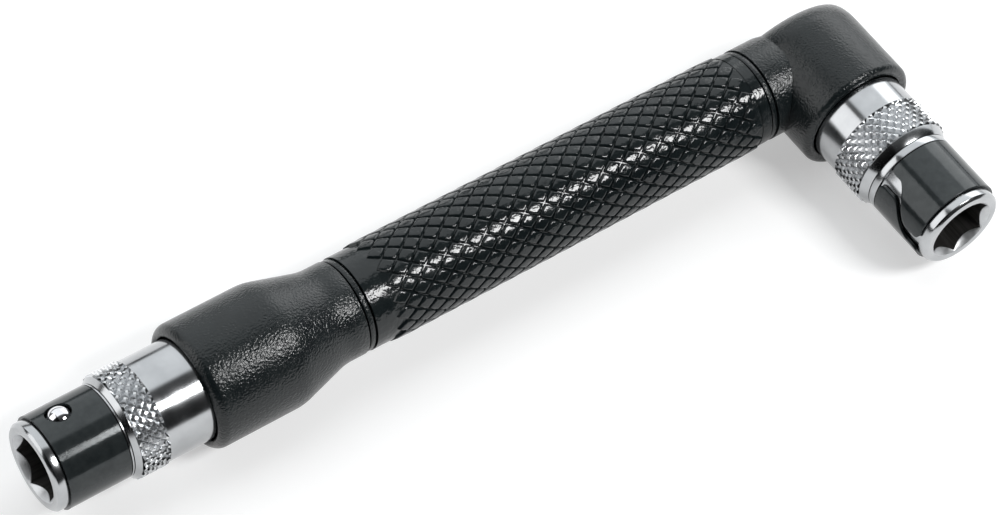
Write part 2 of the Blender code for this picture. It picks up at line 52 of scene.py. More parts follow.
# Core bar, cross pins, thrust washers and snap rings
# Plain steel inside the handle: the bar is drawn hexagon stock, the small pieces are turned
# or stamped. They stay as imported, with the satin finish of drawn steel.

STEEL_GRAIN = 0.4 * MM
STEEL_STRETCH = (6.0, 1.0, 1.0)
STEEL_TONES = ((0.38, 0.38, 0.40), (0.52, 0.52, 0.54))
STEEL_ROUGHNESS = (0.25, 0.45)
GRAIN_LOW = 0.3
GRAIN_HIGH = 0.7


def new_finish(name, metallic=0.0):
    """A new material, its node tree and its shader."""
    made = bpy.data.materials.new(name)
    made.use_nodes = True
    shader = made.node_tree.nodes["Principled BSDF"]
    shader.inputs["Metallic"].default_value = metallic
    return made, made.node_tree, shader


def add_node(tree, kind, values):
    """A shader node with the given values on its sockets."""
    made = tree.nodes.new("ShaderNode" + kind)
    for socket, value in values.items():
        made.inputs[socket].default_value = value
    return made


def grain(tree, size, stretch=(1.0, 1.0, 1.0), detail=2.0, attribute=None):
    """Noise with features of about that size, drawn out along each axis by stretch."""
    if attribute:
        place = tree.nodes.new("ShaderNodeAttribute")
        place.attribute_name = attribute
        found = place.outputs["Vector"]
    else:
        found = tree.nodes.new("ShaderNodeTexCoord").outputs["Object"]
    scaled = add_node(tree, "Mapping", {"Scale": [1.0 / (size * share) for share in stretch]})
    noise = add_node(tree, "TexNoise", {"Scale": 1.0, "Detail": detail})
    tree.links.new(found, scaled.inputs["Vector"])
    tree.links.new(scaled.outputs["Vector"], noise.inputs["Vector"])
    return noise.outputs["Fac"]


def coloured(tree, shader, value, tones):
    """Colours the surface between a dark and a light tone, as the grain goes."""
    ramp = tree.nodes.new("ShaderNodeValToRGB")
    for element, position, tone in zip(ramp.color_ramp.elements, (GRAIN_LOW, GRAIN_HIGH), tones):
        element.position = position
        element.color = (*tone, 1.0)
    tree.links.new(value, ramp.inputs["Fac"])
    tree.links.new(ramp.outputs["Color"], shader.inputs["Base Color"])


def roughened(tree, shader, value, limits):
    """Spreads the surface's roughness between two limits, as the grain goes."""
    low, high = limits
    ends = {"From Min": GRAIN_LOW, "From Max": GRAIN_HIGH, "To Min": low, "To Max": high}
    made = add_node(tree, "MapRange", ends)
    tree.links.new(value, made.inputs["Value"])
    tree.links.new(made.outputs["Result"], shader.inputs["Roughness"])


def raised(tree, shader, value, height, strength=1.0):
    """Lets the surface rise by height where the grain is high."""
    made = add_node(tree, "Bump", {"Strength": strength, "Distance": height})
    tree.links.new(value, made.inputs["Height"])
    tree.links.new(made.outputs["Normal"], shader.inputs["Normal"])


steel, tree, shader = new_finish("drawn_steel", metallic=1.0)
drawn = grain(tree, STEEL_GRAIN, STEEL_STRETCH)
coloured(tree, shader, drawn, STEEL_TONES)
roughened(tree, shader, drawn, STEEL_ROUGHNESS)

inside_pieces = ["core_bar"]
for head in ("straight", "angled"):
    inside_pieces += [head + "_" + piece for piece in ("cross_pin", "thrust_washer", "snap_ring")]
for name in inside_pieces:
    frame["nodes"][name].material_slots[0].material = steel


# Barrels
# Each is turned from steel bar with a hexagon socket cut by a broach, a countersunk lead-in, a groove for
# the clip and a shoulder, then chromed. It is pressed on the core bar's spigot and pinned. The socket's
# walls are coloured near black: partly dull bare steel, partly painted shade of the deep socket.

HEAD_LENGTH = 17.8 * MM
SHANK_IN_MOUTH = 3.3 * MM
BARREL_LENGTH = HEAD_LENGTH + SHANK_IN_MOUTH
SOCKET_FLAT = 3.225 * MM
SOCKET_DEPTH = 10.0 * MM
SOCKET_BORE = 3.05 * MM
LEAD_IN_RADIUS = 3.824 * MM
LEAD_IN_SLOPE = 0.8
END_RING_RADIUS = 4.9 * MM
END_RING_LENGTH = 1.2 * MM
END_RING_CHAMFER = 0.3 * MM
CLIP_GROOVE_RADIUS = 4.8 * MM
CLIP_PLAY = 0.1 * MM
CLIP_FRONT = END_RING_LENGTH + CLIP_PLAY
CLIP_LENGTH = 7.0 * MM
SHOULDER_RADIUS = 5.2 * MM
SHOULDER_FRONT = CLIP_FRONT + CLIP_LENGTH + CLIP_PLAY
SHOULDER_LENGTHS = {"straight": 0.2 * MM, "angled": 0.85 * MM}
SHANK_RADIUS = 4.6 * MM
BARREL_EDGE = 0.07 * MM
BALL_RADIUS = 1.39 * MM
BALL_BEHIND_FRONT = 3.9 * MM
BALL_REACH = 0.45 * MM
BALL_DISTANCE = SOCKET_FLAT - BALL_REACH + BALL_RADIUS
BALL_PLAY = 0.07 * MM
DRILL_POINT = 0.02 * MM
DRILL_STEPS = 32
ROUND_STEPS = 96
SAME_POINT = 0.001 * MM
SHARP_ANGLE = math.radians(40.0)
SHADED_SOCKET_FACES = 1
LEAD_IN_FACES = 2

CHROME_CLOUDS = 2.5 * MM
CHROME_TONES = ((0.40, 0.41, 0.42), (0.48, 0.49, 0.50))
CHROME_ROUGHNESS = (0.13, 0.20)
LATHE_LINES = 0.12 * MM
LATHE_STRETCH = (40.0, 40.0, 1.0)
LATHE_RELIEF = 0.002 * MM
BROACH_STROKES = 0.15 * MM
BROACH_STRETCH = (1.0, 1.0, 30.0)
# Socket walls: dull steel with painted shade of the deep socket, far darker than bare steel
BROACH_AND_SHADE_TONES = ((0.035, 0.034, 0.032), (0.075, 0.072, 0.070))
BROACH_ROUGHNESS = (0.35, 0.55)
LEAD_IN_CLOUDS = 0.6 * MM
LEAD_IN_TONES = ((0.48, 0.49, 0.50), (0.56, 0.57, 0.58))
LEAD_IN_ROUGHNESS = (0.34, 0.44)

joints = {joint["name"]: joint for joint in frame["joints"]}


def head_frame(head):
    """Z out of the socket from the middle of its front face, and X towards its ball."""
    spin = joints[head + "_sleeve_spin"]
    outward = Vector(spin["axis"]).normalized()
    sideways = Vector(joints[head + "_ball_slide"]["axis"]).normalized()
    front = max(corner.dot(outward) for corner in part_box(head + "_barrel"))
    on_axis = Vector(spin["pos_m"])
    origin = on_axis + (front - on_axis.dot(outward)) * outward
    turn = Matrix((sideways, outward.cross(sideways), outward)).transposed().to_4x4()
    return Matrix.Translation(origin) @ turn


heads = {head: head_frame(head) for head in ("straight", "angled")}


def turned(rings, steps):
    """Rings about Z, each drawn on from the one before, joined or closed at their ends.

    A ring is (radius, height), and both may be functions of the angle.
    """
    bm = bmesh.new()
    bmesh.ops.create_circle(bm, segments=steps, radius=1.0)
    verts = bm.verts[:]
    edges = bm.edges[:]
    for count, (radius, height) in enumerate(rings):
        if count:
            drawn_on = bmesh.ops.extrude_edge_only(bm, edges=edges)["geom"]
            verts = [item for item in drawn_on if isinstance(item, bmesh.types.BMVert)]
            edges = [item for item in drawn_on if isinstance(item, bmesh.types.BMEdge)]
        for vert in verts:
            angle = math.atan2(vert.co.y, vert.co.x)
            out = radius(angle) if callable(radius) else radius
            up = height(angle) if callable(height) else height
            vert.co = (out * math.cos(angle), out * math.sin(angle), up)
    bmesh.ops.remove_doubles(bm, verts=bm.verts, dist=SAME_POINT)
    bmesh.ops.holes_fill(bm, edges=bm.edges, sides=0)
    bmesh.ops.recalc_face_normals(bm, faces=bm.faces)
    return bm


def soften(bm, width, least_angle=30.0):
    """Breaks the sharp edges with small round bevels."""
    sharp = [
        edge
        for edge in bm.edges
        if edge.is_manifold and edge.calc_face_angle() > math.radians(least_angle)
    ]
    bmesh.ops.bevel(
        bm,
        geom=sharp,
        offset=width,
        segments=2,
        profile=0.5,
        affect="EDGES",
        material=-1,
        clamp_overlap=True,
    )


def joined(bm, other, operation):
    """The shape of bm with the other taken away or added."""
    made = []
    for shape in (bm, other):
        mesh = bpy.data.meshes.new("blank")
        shape.to_mesh(mesh)
        shape.free()
        made.append(bpy.data.objects.new("blank", mesh))
        bpy.context.scene.collection.objects.link(made[-1])
    boolean = made[0].modifiers.new("cut", "BOOLEAN")
    boolean.operation = operation
    boolean.object = made[1]
    boolean.solver = "EXACT"
    bpy.context.view_layer.update()
    result = bmesh.new()
    result.from_object(made[0], bpy.context.evaluated_depsgraph_get())
    for blank in made:
        bpy.data.objects.remove(blank, do_unlink=True)
    return result


def add_piece(name, bm, finishes, place, body, replaced):
    """Puts a shape made on the bench in its place on the tool, on a body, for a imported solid."""
    bench = bm.verts.layers.float_vector.new("bench_place")
    for vert in bm.verts:
        vert[bench] = vert.co
    bm.transform(place)
    mesh = bpy.data.meshes.new(name)
    bm.to_mesh(mesh)
    bm.free()
    mesh.shade_smooth()
    mesh.set_sharp_from_angle(angle=SHARP_ANGLE)
    for finish in finishes:
        mesh.materials.append(finish)
    piece = bpy.data.objects.new(name, mesh)
    bpy.context.scene.collection.objects.link(piece)
    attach(piece, body)
    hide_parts(replaced)


def hexagon(angle):
    """Distance of the socket's wall from the axis, with a flat towards the ball."""
    off_flat = (angle + math.radians(30.0)) % math.radians(60.0) - math.radians(30.0)
    return SOCKET_FLAT / math.cos(off_flat)


def lead_in(angle):
    """Height at which the lead-in cone runs into the hexagon."""
    return (hexagon(angle) - LEAD_IN_RADIUS) / LEAD_IN_SLOPE


def to_ball(bm):
    """Turns a shape made along Z to the ball's line."""
    sideways = Matrix.Rotation(math.radians(90.0), 4, "Y")
    bm.transform(Matrix.Translation((0.0, 0.0, -BALL_BEHIND_FRONT)) @ sideways)
    return bm


def barrel_shape(head):
    """A barrel with its socket, and the seat of the ball drilled with a right-angled point."""
    shoulder_rear = SHOULDER_FRONT + SHOULDER_LENGTHS[head]
    bm = turned(
        [
            (SOCKET_BORE, -BARREL_LENGTH),
            (SOCKET_BORE, -SOCKET_DEPTH),
            (hexagon, -SOCKET_DEPTH),
            (hexagon, lead_in),
            (LEAD_IN_RADIUS, 0.0),
            (END_RING_RADIUS - END_RING_CHAMFER, 0.0),
            (END_RING_RADIUS, -END_RING_CHAMFER),
            (END_RING_RADIUS, -END_RING_LENGTH),
            (CLIP_GROOVE_RADIUS, -END_RING_LENGTH),
            (CLIP_GROOVE_RADIUS, -SHOULDER_FRONT),
            (SHOULDER_RADIUS, -SHOULDER_FRONT),
            (SHOULDER_RADIUS, -shoulder_rear),
            (SHANK_RADIUS, -shoulder_rear),
            (SHANK_RADIUS, -BARREL_LENGTH),
            (SOCKET_BORE, -BARREL_LENGTH),
        ],
        ROUND_STEPS,
    )
    soften(bm, BARREL_EDGE)
    seat = BALL_RADIUS + BALL_PLAY
    apex = BALL_DISTANCE - math.sqrt(2.0) * seat
    drill = turned([(DRILL_POINT, apex), (seat, apex + seat), (seat, SHOULDER_RADIUS)], DRILL_STEPS)
    bm = joined(bm, to_ball(drill), "DIFFERENCE")
    # The socket's walls take the finish with painted shade in its colour, the lead-in cone its own
    for face in bm.faces:
        middle = face.calc_center_median()
        if middle.xy.length < LEAD_IN_RADIUS:
            face.material_index = SHADED_SOCKET_FACES if middle.z < -END_RING_LENGTH else LEAD_IN_FACES
    return bm


chrome, tree, shader = new_finish("turned_chrome", metallic=1.0)
clouds = grain(tree, CHROME_CLOUDS, detail=4.0)
lathe_lines = grain(tree, LATHE_LINES, LATHE_STRETCH, attribute="bench_place")
coloured(tree, shader, clouds, CHROME_TONES)
roughened(tree, shader, clouds, CHROME_ROUGHNESS)
raised(tree, shader, lathe_lines, LATHE_RELIEF, strength=0.5)

# Socket walls: dull steel whose colour carries painted shade of the deep socket
broached_and_shaded, tree, shader = new_finish("broached_steel_and_painted_shade", metallic=0.8)
strokes = grain(tree, BROACH_STROKES, BROACH_STRETCH, attribute="bench_place")
coloured(tree, shader, strokes, BROACH_AND_SHADE_TONES)
roughened(tree, shader, strokes, BROACH_ROUGHNESS)

countersunk, tree, shader = new_finish("countersunk_chrome", metallic=1.0)
clouds = grain(tree, LEAD_IN_CLOUDS, detail=3.0)
coloured(tree, shader, clouds, LEAD_IN_TONES)
roughened(tree, shader, clouds, LEAD_IN_ROUGHNESS)

for head, place in heads.items():
    looks = (chrome, broached_and_shaded, countersunk)
    barrel_name = head + "_barrel"
    add_piece(head + "_chromed_barrel", barrel_shape(head), looks, place, "handle", barrel_name)


# Finger sleeves
# A turned, chromed ring on each barrel with a diamond knurl rolled into its front half.
# It spins freely between the barrel's shoulder and the thrust washer.

SLEEVE_PLAY = 0.1 * MM
SLEEVE_WALL = 0.98 * MM
SLEEVE_BORE = SHANK_RADIUS + SLEEVE_PLAY
SLEEVE_RADIUS = SLEEVE_BORE + SLEEVE_WALL
SLEEVE_IN_MOUTH = 1.2 * MM
SLEEVE_REAR = HEAD_LENGTH + SLEEVE_IN_MOUTH
SLEEVE_REAR_CHAMFER = 0.25 * MM
CONE_DEPTH = 0.5 * MM
CONE_LENGTHS = {"straight": 0.5 * MM, "angled": 0.95 * MM}
KNURL_LENGTHS = {"straight": 3.1 * MM, "angled": 3.9 * MM}
KNURL_PEAK = 6.12 * MM
KNURL_VALLEY = 5.3 * MM
KNURL_COUNT = 32
KNURL_PITCH = 0.62 * MM
KNURL_FLAT = 0.33 * MM
KNURL_RUN_OUT = 0.3 * MM
KNURL_EDGE = 0.03 * MM
KNURLED_FACES = 1

KNURL_CLOUDS = 0.5 * MM
KNURL_TONES = ((0.55, 0.56, 0.57), (0.66, 0.67, 0.68))
KNURL_ROUGHNESS = (0.20, 0.28)


def toothed(row):
    """Radius of a row of the knurl: a peak at every other step, set over from row to row."""
    step = math.pi / KNURL_COUNT

    def radius(angle):
        return KNURL_PEAK if (round(angle / step) + row) % 2 else KNURL_VALLEY

    return radius


def sleeve_shape(head):
    """A sleeve with its rear chamfer, its plain band, the knurl with flattened peaks and the cone."""
    front = -SHOULDER_FRONT - SHOULDER_LENGTHS[head] - SLEEVE_PLAY
    cone_rear = front - CONE_LENGTHS[head]
    knurl_rear = cone_rear - KNURL_LENGTHS[head]
    knurl_rows = round(KNURL_LENGTHS[head] / KNURL_PITCH)
    rings = [
        (SLEEVE_BORE, -SLEEVE_REAR),
        (SLEEVE_RADIUS - SLEEVE_REAR_CHAMFER, -SLEEVE_REAR),
        (SLEEVE_RADIUS, -SLEEVE_REAR + SLEEVE_REAR_CHAMFER),
        (SLEEVE_RADIUS, knurl_rear - KNURL_RUN_OUT),
        (SLEEVE_RADIUS, knurl_rear - KNURL_RUN_OUT + KNURL_EDGE),
    ]
    for row in range(knurl_rows + 1):
        share = row / knurl_rows
        rings.append((toothed(row), knurl_rear + share * (KNURL_LENGTHS[head] - KNURL_RUN_OUT)))
    rings += [
        (SLEEVE_RADIUS, cone_rear - KNURL_EDGE),
        (SLEEVE_RADIUS, cone_rear),
        (SLEEVE_RADIUS - CONE_DEPTH, front),
        (SLEEVE_BORE, front),
        (SLEEVE_BORE, -SLEEVE_REAR),
    ]
    bm = turned(rings, 2 * KNURL_COUNT)
    bmesh.ops.triangulate(bm, faces=bm.faces, quad_method="SHORT_EDGE")
    peaks = [vert for vert in bm.verts if vert.co.xy.length > 0.5 * (KNURL_PEAK + SLEEVE_RADIUS)]
    bmesh.ops.bevel(
        bm, geom=peaks, offset=KNURL_FLAT, segments=1, profile=0.5, affect="VERTICES", material=-1
    )
    for face in bm.faces:
        middle = face.calc_center_median()
        outside = middle.xy.length > 0.5 * (SLEEVE_BORE + SLEEVE_RADIUS)
        if outside and knurl_rear < middle.z < cone_rear - KNURL_RUN_OUT:
            face.material_index = KNURLED_FACES
    return bm


knurled, tree, shader = new_finish("knurled_chrome", metallic=1.0)
clouds = grain(tree, KNURL_CLOUDS, detail=3.0)
coloured(tree, shader, clouds, KNURL_TONES)
roughened(tree, shader, clouds, KNURL_ROUGHNESS)

for head, place in heads.items():
    looks = (chrome, knurled)
    body = head + "_spinner"
    add_piece(head + "_knurled_sleeve", sleeve_shape(head), looks, place, body, head + "_sleeve")


# Retaining clips
# A band of blackened spring steel snapped into each barrel's groove. Its ends part along a
# curved slit, and a hole nearly opposite lets the ball through and presses it inwards.

CLIP_RADIUS = 5.2 * MM
CLIP_THICKNESS = 0.3 * MM
CLIP_CORNER = 0.7 * MM
CLIP_EDGE = 0.06 * MM
CLIP_ROWS = 40
CLIP_SLIT_ANGLE = math.radians(168.0)
CLIP_SLIT_SWAY = math.radians(20.0)
CLIP_SLIT_SLANT = 1.9 * MM
CLIP_SLIT_NARROW = math.radians(12.0)
CLIP_SLIT_FLARE = math.radians(8.0)
CLIP_HOLE_RADIUS = 1.42 * MM
CLIP_HOLE_STEPS = 48

OXIDE_PATCHES = 0.9 * MM
OXIDE_SPECKLE = 0.18 * MM
OXIDE_TONES = ((0.021, 0.026, 0.0275), (0.034, 0.040, 0.0415))
OXIDE_ROUGHNESS = (0.08, 0.15)
OXIDE_RELIEF = 0.004 * MM


def clip_shape():
    """A sheet bent round the barrel from one side of the slit to the other, with a punched hole."""
    bm = bmesh.new()
    bmesh.ops.create_grid(bm, x_segments=ROUND_STEPS, y_segments=CLIP_ROWS, size=0.5)
    for vert in bm.verts:
        from_middle = 0.5 * CLIP_LENGTH * math.sin(math.pi * vert.co.y)
        slant = max(-1.0, min(1.0, from_middle / CLIP_SLIT_SLANT))
        middle = CLIP_SLIT_ANGLE + CLIP_SLIT_SWAY * math.sin(0.5 * math.pi * slant)
        in_corner = max(0.0, abs(from_middle) - 0.5 * CLIP_LENGTH + CLIP_CORNER)
        cut_back = CLIP_CORNER - math.sqrt(max(0.0, CLIP_CORNER**2 - in_corner**2))
        half_slit = 0.5 * (CLIP_SLIT_NARROW + CLIP_SLIT_FLARE * slant**2) + cut_back / CLIP_RADIUS
        angle = middle + half_slit + (vert.co.x + 0.5) * (math.tau - 2.0 * half_slit)
        height = from_middle - CLIP_FRONT - 0.5 * CLIP_LENGTH
        vert.co = (CLIP_RADIUS * math.cos(angle), CLIP_RADIUS * math.sin(angle), height)
    inside = bmesh.ops.extrude_face_region(bm, geom=bm.faces[:], use_keep_orig=True)["geom"]
    for vert in [item for item in inside if isinstance(item, bmesh.types.BMVert)]:
        vert.co.xy *= (CLIP_RADIUS - CLIP_THICKNESS) / CLIP_RADIUS
    bmesh.ops.recalc_face_normals(bm, faces=bm.faces)
    soften(bm, CLIP_EDGE, least_angle=50.0)
    hole = [(CLIP_HOLE_RADIUS, BALL_DISTANCE), (CLIP_HOLE_RADIUS, SLEEVE_RADIUS)]
    return joined(bm, to_ball(turned(hole, CLIP_HOLE_STEPS)), "DIFFERENCE")


oxide, tree, shader = new_finish("blackened_spring_steel", metallic=0.3)
patches = grain(tree, OXIDE_PATCHES, detail=5.0)
speckle = grain(tree, OXIDE_SPECKLE)
coloured(tree, shader, patches, OXIDE_TONES)
roughened(tree, shader, speckle, OXIDE_ROUGHNESS)
raised(tree, shader, speckle, OXIDE_RELIEF)

for head, place in heads.items():
    clip_name = head + "_retaining_clip"
    add_piece(head + "_spring_clip", clip_shape(), (oxide,), place, "handle", clip_name)


# Detent balls
# Hardened and polished steel balls, each in a drilled seat of its barrel. The clips press them
# into the sockets, where they click into a bit's notch.

BALL_STEPS = 48
BALL_SMEARS = 0.8 * MM
BALL_TONES = ((0.70, 0.70, 0.72), (0.82, 0.82, 0.84))
BALL_ROUGHNESS = (0.06, 0.12)


def ball_shape():
    """A ball in its seat, as deep in the socket as it goes."""
    bm = bmesh.new()
    bmesh.ops.create_uvsphere(
        bm, u_segments=BALL_STEPS, v_segments=BALL_STEPS // 2, radius=BALL_RADIUS
    )
    bm.transform(Matrix.Translation((BALL_DISTANCE, 0.0, -BALL_BEHIND_FRONT)))
    return bm


polished, tree, shader = new_finish("polished_ball", metallic=1.0)
smears = grain(tree, BALL_SMEARS, detail=3.0)
coloured(tree, shader, smears, BALL_TONES)
roughened(tree, shader, smears, BALL_ROUGHNESS)

for head, place in heads.items():
    ball_name = head + "_detent_ball"
    add_piece(head + "_polished_ball", ball_shape(), (polished,), place, head + "_ball", ball_name)


# Nose
# A flared moulding of filled black nylon that the straight head comes out of. Its surface is
# fine grained, and it is pressed over the core bar up to the grip's end ring.

NOSE_LENGTH = 19.1 * MM
NOSE_BELL_LENGTH = 9.6 * MM
NOSE_NECK_LENGTH = 1.7 * MM
BELL_RADIUS = 7.0 * MM
NECK_RADIUS = 5.3 * MM
TAPER_BEND = 0.22
LIP_ROUNDING = 1.1 * MM
LIP_LEAST_WIDTH = 0.1 * MM
MOUTH_GAP = 0.16 * MM
MOUTH_RADIUS = SLEEVE_RADIUS + MOUTH_GAP
MOUTH_CHAMFER = 0.2 * MM
MOUTH_DEPTH = 2.8 * MM
CORE_ROOM = 3.9 * MM
MOULDED_EDGE = 0.08 * MM

NYLON_GRAIN = 0.24 * MM
NYLON_PATCHES = 3.0 * MM
NYLON_TONES = ((0.0065, 0.0095, 0.0105), (0.0105, 0.0145, 0.0155))
NYLON_ROUGHNESS = (0.20, 0.26)
NYLON_RELIEF = 0.07 * MM
NYLON_IOR = 1.43


def lip_rings(rounding, steps=8):
    """The mouth's bore, its chamfer and the rounded lip round it, from the inside out."""
    rings = [
        (MOUTH_RADIUS, -MOUTH_DEPTH),
        (MOUTH_RADIUS, -MOUTH_CHAMFER),
    ]
    for i in range(steps + 1):
        turn = 0.5 * math.pi * i / steps
        out = BELL_RADIUS - rounding * (1.0 - math.sin(turn))
        along = -rounding * (1.0 - math.cos(turn))
        if out > MOUTH_RADIUS + LIP_LEAST_WIDTH:
            rings.append((out, along))
    return rings


def nose_shape(steps=24):
    """The bell, a straight taper with rounded ends, the neck, and the room for the core bar."""
    rings = lip_rings(LIP_ROUNDING)
    taper = NOSE_LENGTH - NOSE_BELL_LENGTH - NOSE_NECK_LENGTH
    for i in range(steps + 1):
        share = i / steps
        near_end = min(share, 1.0 - share, TAPER_BEND)
        drawn_in = min(share, 1.0 - share) - near_end + 0.5 * near_end**2 / TAPER_BEND
        drawn_in /= 1.0 - TAPER_BEND
        if share > 0.5:
            drawn_in = 1.0 - drawn_in
        radius = BELL_RADIUS + drawn_in * (NECK_RADIUS - BELL_RADIUS)
        rings.append((radius, -NOSE_BELL_LENGTH - share * taper))
    rings += [
        (NECK_RADIUS, -NOSE_LENGTH),
        (CORE_ROOM, -NOSE_LENGTH),
        (CORE_ROOM, -MOUTH_DEPTH),
        (MOUTH_RADIUS, -MOUTH_DEPTH),
    ]
    bm = turned(rings, ROUND_STEPS)
    soften(bm, MOULDED_EDGE, least_angle=40.0)
    return bm


moulded, tree, shader = new_finish("grained_nylon")
fine = grain(tree, NYLON_GRAIN, detail=1.0)
patches = grain(tree, NYLON_PATCHES, detail=3.0)
shader.inputs["IOR"].default_value = NYLON_IOR
coloured(tree, shader, patches, NYLON_TONES)
roughened(tree, shader, patches, NYLON_ROUGHNESS)
raised(tree, shader, fine, NYLON_RELIEF)

to_mouth = Matrix.Translation((0.0, 0.0, -HEAD_LENGTH))
nose_place = heads["straight"] @ to_mouth
add_piece("nose_moulding", nose_shape(), (moulded,), nose_place, "handle", "nose_shell")


# End rings of the grip
# Thin rings moulded from the same nylon that close the grip's two ends. The seams on both sides
# of each ring show as a pair of fine lines.

def ring_shape(node):
    """A flat ring round the core bar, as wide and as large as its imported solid."""
    low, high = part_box(node)
    on_bench = nose_place.inverted()
    rear = (on_bench @ high).z
    front = (on_bench @ low).z
    radius = 0.5 * (high.z - low.z)
    section = [(CORE_ROOM, rear), (radius, rear), (radius, front), (CORE_ROOM, front), (CORE_ROOM, rear)]
    bm = turned(section, ROUND_STEPS)
    soften(bm, MOULDED_EDGE)
    return bm


for name in ("nose_ring", "elbow_ring"):
    add_piece(name + "_moulding", ring_shape(name), (moulded,), nose_place, "handle", name)


# Grip
# A glossy black moulded tube with a net of flat-bottomed grooves that leaves slightly crowned
# diamond pads, and a plain band at both ends. It is pushed over the core bar.

PADS_ALONG = 19
PADS_ROUND = 18
HALF_ROWS = 2 * PADS_ALONG
HALF_COLUMNS = 2 * PADS_ROUND
PAD_TOP = 5.52 * MM
PAD_GROOVE = 0.28 * MM
PAD_CORNER = 0.92
ON_DIAGONAL = 0.01
PAD_SEAM = 0.002 * MM
PLAIN_BAND_NOSE = 2.3 * MM
PLAIN_BAND_ELBOW = 1.2 * MM
RIM_REACH = 0.3 * MM

# Each step up a pad: how far in, in half cells, and how much of the groove's depth it climbs
PAD_STEPS = ((0.22, 0.0), (0.10, 0.72), (0.05, 0.17), (0.08, 0.08), (0.10, 0.03))

GRIP_GRAIN = 0.6 * MM
GRIP_PATCHES = 4.0 * MM
GRIP_TONES = ((0.006, 0.009, 0.010), (0.010, 0.014, 0.015))
GRIP_ROUGHNESS = (0.12, 0.18)
GRIP_RELIEF = 0.06 * MM
GRIP_IOR = 1.46


def cell(bm, outline):
    """One cell of the net, drawn flat at the height of the grooves."""
    return bm.faces.new([bm.verts.new((x, y, 0.0)) for x, y in outline])


def pad(bm, face):
    """Raises a pad with crowned top and rounded corners in a cell, inside half the groove's width."""
    rim = set(face.verts)
    made = {face}
    for inset, rise in PAD_STEPS:
        result = bmesh.ops.inset_individual(
            bm, faces=[face], thickness=inset, depth=rise, use_even_offset=True
        )
        made.update(result["faces"])
    for vert in {vert for item in made for vert in item.verts} - rim:
        if min(abs(vert.co.x), abs(vert.co.y)) < ON_DIAGONAL:
            vert.co.xy *= PAD_CORNER
    return list(made)


def grip_shape():
    """The net of pads laid flat, rolled round the handle's axis, and closed by its bands and bore."""
    low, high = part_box("grip_sleeve")
    start = low.x + PLAIN_BAND_NOSE
    length = high.x - PLAIN_BAND_ELBOW - start
    axis_y = heads["straight"].translation.y
    axis_z = heads["straight"].translation.z
    bm = bmesh.new()
    half = [(0.0, -1.0), (0.5, -0.5), (1.0, 0.0), (0.5, 0.5), (0.0, 1.0)]
    other_half = [(-x, -y) for x, y in half]
    middle = [(0.0, 0.5), (0.0, 0.0), (0.0, -0.5)]
    first = [cell(bm, half + middle)]
    last = [cell(bm, other_half + middle[::-1])]
    diamond = pad(bm, cell(bm, half + other_half[1:-1]))
    originals = first + last + diamond
    for row in range(HALF_ROWS + 1):
        cells = first if row == 0 else last if row == HALF_ROWS else diamond
        for column in range((row + 1) % 2, HALF_COLUMNS, 2):
            copy = bmesh.ops.duplicate(bm, geom=cells)["geom"]
            faces = [item for item in copy if isinstance(item, bmesh.types.BMFace)]
            verts = list({vert for face in faces for vert in face.verts})
            bmesh.ops.translate(bm, verts=verts, vec=(row, column, 0.0))
    bmesh.ops.delete(bm, geom=originals, context="FACES")
    for vert in bm.verts:
        angle = math.tau * vert.co.y / HALF_COLUMNS
        radius = PAD_TOP - PAD_GROOVE * (1.0 - vert.co.z)
        x = start + length * vert.co.x / HALF_ROWS
        vert.co = (x, axis_y + radius * math.cos(angle), axis_z + radius * math.sin(angle))
    bmesh.ops.remove_doubles(bm, verts=bm.verts, dist=PAD_SEAM)

    def near(edge, x):
        return all(abs(vert.co.x - x) < RIM_REACH for vert in edge.verts)

    ends = []
    for end, rim in ((low.x, start), (high.x, start + length)):
        edges = [edge for edge in bm.edges if edge.is_boundary and near(edge, rim)]
        for x, radius in ((rim, NECK_RADIUS), (end, NECK_RADIUS), (end, CORE_ROOM)):
            drawn_on = bmesh.ops.extrude_edge_only(bm, edges=edges)["geom"]
            edges = [item for item in drawn_on if isinstance(item, bmesh.types.BMEdge)]
            for vert in [item for item in drawn_on if isinstance(item, bmesh.types.BMVert)]:
                out = Vector((vert.co.y - axis_y, vert.co.z - axis_z)).normalized() * radius
                vert.co = (x, axis_y + out.x, axis_z + out.y)
        ends += edges
    bmesh.ops.bridge_loops(bm, edges=ends)
    bmesh.ops.recalc_face_normals(bm, faces=bm.faces)
    return bm


rubber, tree, shader = new_finish("glossy_grip")
fine = grain(tree, GRIP_GRAIN, detail=2.0)
patches = grain(tree, GRIP_PATCHES, detail=3.0)
shader.inputs["IOR"].default_value = GRIP_IOR
coloured(tree, shader, patches, GRIP_TONES)
roughened(tree, shader, patches, GRIP_ROUGHNESS)
raised(tree, shader, fine, GRIP_RELIEF)
add_piece("diamond_grip", grip_shape(), (rubber,), Matrix(), "handle", "grip_sleeve")


# Elbow
# A black nylon moulding round the bend: a round block about the angled head's axis, drawn in
# to a flat back, with a stub of the handle's own size on its side. Straight cores from the stub
# and from the mouth leave the room for the core bar's bend.

ANGLED_MOUTH = 8.6 * MM
ELBOW_BACK = 4.9 * MM
ELBOW_FLAT_ANGLE = math.radians(68.0)
ELBOW_SQUARENESS = 6.5
ELBOW_LIP_ROUNDING = 0.75 * MM
STUB_ROOT = 4.4 * MM
STUB_BLEND = 5.0 * MM
CORE_PAST_AXIS = 2.0 * MM
CORE_OVERRUN = 1.0 * MM

elbow_turn = Matrix(((1.0, 0.0, 0.0), (0.0, 0.0, 1.0), (0.0, -1.0, 0.0))).transposed().to_4x4()
elbow_place = Matrix.Translation((heads["angled"] @ to_mouth).translation) @ elbow_turn


def oval(half_width, half_height):
    """Distance of an ellipse from its middle, as a function of the angle."""

    def radius(angle):
        return 1.0 / math.hypot(math.cos(angle) / half_width, math.sin(angle) / half_height)

    return radius


